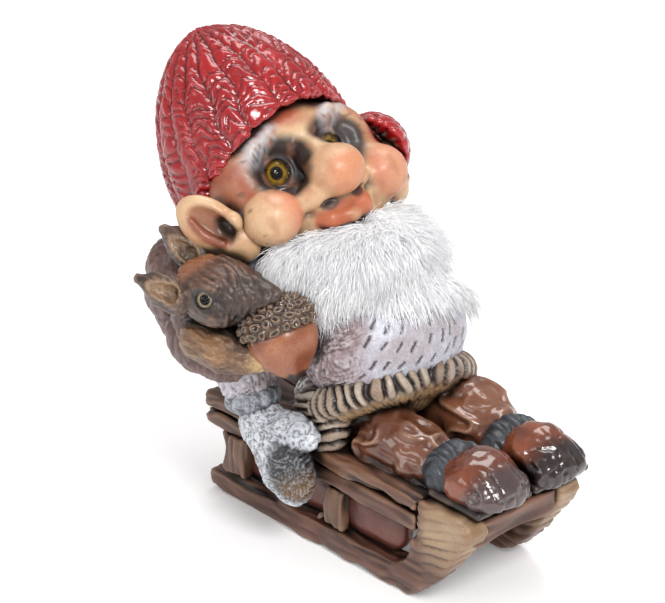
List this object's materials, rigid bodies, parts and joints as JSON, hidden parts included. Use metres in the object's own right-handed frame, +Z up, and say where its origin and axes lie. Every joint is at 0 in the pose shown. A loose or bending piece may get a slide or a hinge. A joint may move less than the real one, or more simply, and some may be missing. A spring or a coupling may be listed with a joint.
{
  "type": "garden gnome figurine",
  "caption": "Small painted garden gnome leaning back on a wooden-look sled, with a red knitted cap, fur beard and a squirrel holding an acorn; a static ornament.",
  "frame": {"origin": "centre of the bounding box in X and Y, on the ground under the sled runners", "axes": "+Z up; the gnome and the sled face -Y; the squirrel is on the -X side, at the figure's right arm; +X is the figure's left"},
  "size_m": [0.0834, 0.1194, 0.1173],
  "materials": {
    "timber": "cast resin painted as grey-brown wood, satin",
    "timber_pale": "cast resin painted as worn pale wood, satin",
    "panel": "cast resin, dark red-brown wash",
    "skin": "hand-painted flesh with darker washes, satin",
    "cap_red": "hand-painted red knit under a gloss varnish",
    "wool_white": "hand-painted off-white with dark washed carving",
    "rib_brown": "hand-painted brown ribs with dark grooves",
    "mitten_grey": "hand-painted white over dark, satin",
    "cuff_dark": "hand-painted dark grey straw and wool",
    "leather": "hand-painted orange-brown leather, semi-gloss",
    "boot_brown": "hand-painted brown to black boots, gloss",
    "sole_dark": "hand-painted near-black",
    "fur_white": "white long-pile faux fur",
    "squirrel_brown": "hand-painted dark brown fur with orange highlights",
    "acorn_cup": "hand-painted dark brown scales",
    "acorn_nut": "hand-painted smooth terracotta",
    "glass": "clear polished glass dome",
    "iris_amber": "painted iris and pupil behind the glass"
  },
  "bodies": {
    "root": {"acorn_cup": "acorn_cup", "acorn_nut": "acorn_nut", "ankle_wrap_left": "cuff_dark", "ankle_wrap_right": "cuff_dark", "beard": "fur_white", "boot_left": "boot_brown", "boot_right": "boot_brown", "boot_sole_left": "sole_dark", "boot_sole_right": "sole_dark", "cap": "cap_red", "ear_left": "skin", "ear_right": "skin", "eye_left_glass": "glass", "eye_left_iris": "iris_amber", "eye_right_glass": "glass", "eye_right_iris": "iris_amber", "foot_bar": "timber", "front_cross_bearer": "timber", "head": "skin", "inner_deck_board_left": "timber", "inner_deck_board_right": "timber", "middle_cross_bearer": "timber", "middle_post_left": "timber", "middle_post_right": "timber", "mitten_cuff_left": "cuff_dark", "mitten_cuff_right": "cuff_dark", "mitten_left": "mitten_grey", "mitten_right": "mitten_grey", "outer_deck_board_left": "timber", "outer_deck_board_right": "timber", "rear_cross_bearer": "timber", "rear_post_left": "timber", "rear_post_right": "timber", "runner_left": "timber_pale", "runner_right": "timber_pale", "side_panel_left": "panel", "side_panel_right": "panel", "side_rail_left": "timber", "side_rail_right": "timber", "sleeve_left": "wool_white", "sleeve_right": "wool_white", "squirrel_arm_left": "squirrel_brown", "squirrel_arm_right": "squirrel_brown", "squirrel_body": "squirrel_brown", "squirrel_ear_left": "squirrel_brown", "squirrel_ear_right": "squirrel_brown", "squirrel_eye_left_glass": "glass", "squirrel_eye_left_iris": "iris_amber", "squirrel_eye_right_glass": "glass", "squirrel_eye_right_iris": "iris_amber", "squirrel_head": "squirrel_brown", "squirrel_hind_leg": "squirrel_brown", "squirrel_tail": "squirrel_brown", "sweater_body": "wool_white", "sweater_hem": "rib_brown", "trouser_leg_left": "leather", "trouser_leg_right": "leather", "trouser_seat": "leather"}
  },
  "joints": []
}
